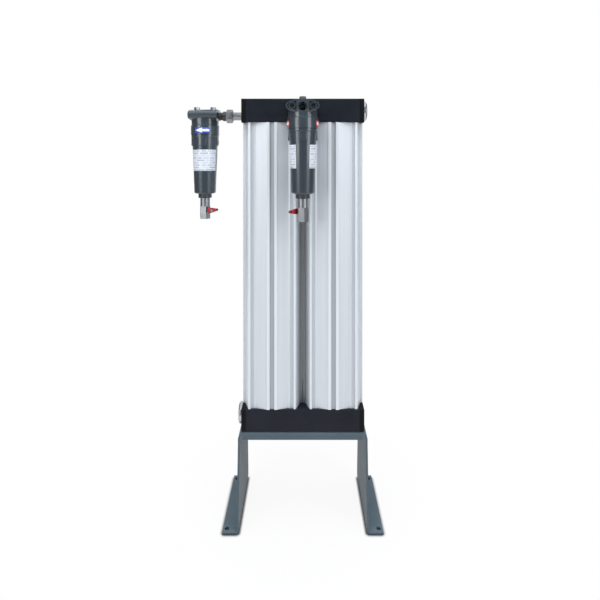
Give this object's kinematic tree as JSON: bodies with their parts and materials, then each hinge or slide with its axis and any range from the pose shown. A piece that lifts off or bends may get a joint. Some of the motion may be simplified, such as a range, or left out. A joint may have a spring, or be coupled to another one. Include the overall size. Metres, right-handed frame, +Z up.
{
  "type": "desiccant air dryer",
  "caption": "Twin-column heatless desiccant air dryer: ribbed aluminium columns between black manifolds on a folded steel stand, with inlet and outlet filters and drain valves.",
  "frame": {"origin": "on the floor at the centre of the four foot holes", "axes": "+Z up, +X to the right seen from the front, the front faces -Y"},
  "size_m": [0.5017, 0.26, 1.084],
  "materials": {
    "stand_paint": "satin blue-grey paint on folded steel",
    "black_anodised": "black anodised aluminium",
    "column_aluminium": "clear anodised aluminium extrusion",
    "filter_paint": "slate-grey powder coat on cast aluminium",
    "steel": "zinc-plated steel",
    "chrome": "bright nickel plate on brass",
    "fitting_grey": "dull grey plated steel",
    "lever_red": "red plastic-dipped lever",
    "rubber": "black rubber",
    "desiccant": "packed alumina beads",
    "white_plastic": "white sealing plastic",
    "element": "wrapped filter medium with end caps"
  },
  "bodies": {
    "dryer": {"stand": "stand_paint", "stand_bolts": "steel", "bottom_manifold": "black_anodised", "bottom_left_plate": "black_anodised", "bottom_right_plate": "black_anodised", "lower_gallery_plug": "steel", "top_manifold": "black_anodised", "top_left_plate": "black_anodised", "top_right_plate": "black_anodised", "upper_gallery_plug": "steel", "end_plate_seals": "rubber", "end_plate_screws": "steel", "column_seals": "rubber", "column_screws": "steel", "left_column": "column_aluminium", "right_column": "column_aluminium", "left_desiccant_bed": "desiccant", "right_desiccant_bed": "desiccant", "lower_diffusers": "steel", "upper_diffusers": "steel", "bed_springs": "steel", "shuttle_ball": "white_plastic", "inlet_nipple": "steel", "outlet_tail": "chrome", "union_nut": "chrome", "union_body": "fitting_grey", "front_filter_head": "filter_paint", "front_filter_bowl": "filter_paint", "front_bowl_seal": "rubber", "front_filter_element": "element", "front_gauge_plugs": "chrome", "front_valve_body": "chrome", "front_valve_insert": "chrome", "front_valve_seats": "white_plastic", "front_valve_gland": "rubber", "side_filter_head": "filter_paint", "side_filter_bowl": "filter_paint", "side_bowl_seal": "rubber", "side_filter_element": "element", "side_gauge_plugs": "chrome", "side_valve_body": "chrome", "side_valve_insert": "chrome", "side_valve_seats": "white_plastic", "side_valve_gland": "rubber"},
    "front_drain_lever": {"front_lever": "lever_red", "front_lever_nut": "chrome", "front_valve_stem": "steel", "front_valve_ball": "chrome"},
    "side_drain_lever": {"side_lever": "lever_red", "side_lever_nut": "chrome", "side_valve_stem": "steel", "side_valve_ball": "chrome"}
  },
  "joints": [
    {"name": "front_drain_turn", "type": "hinge", "parent": "dryer", "child": "front_drain_lever", "pos_m": [0, -0.122, 0.8025], "axis": [0.7071, -0.7071, 0], "range_deg": [0, 90]},
    {"name": "side_drain_turn", "type": "hinge", "parent": "dryer", "child": "side_drain_lever", "pos_m": [-0.2637, 0, 0.7935], "axis": [-0.766, 0.6428, 0], "range_deg": [0, 90]}
  ]
}
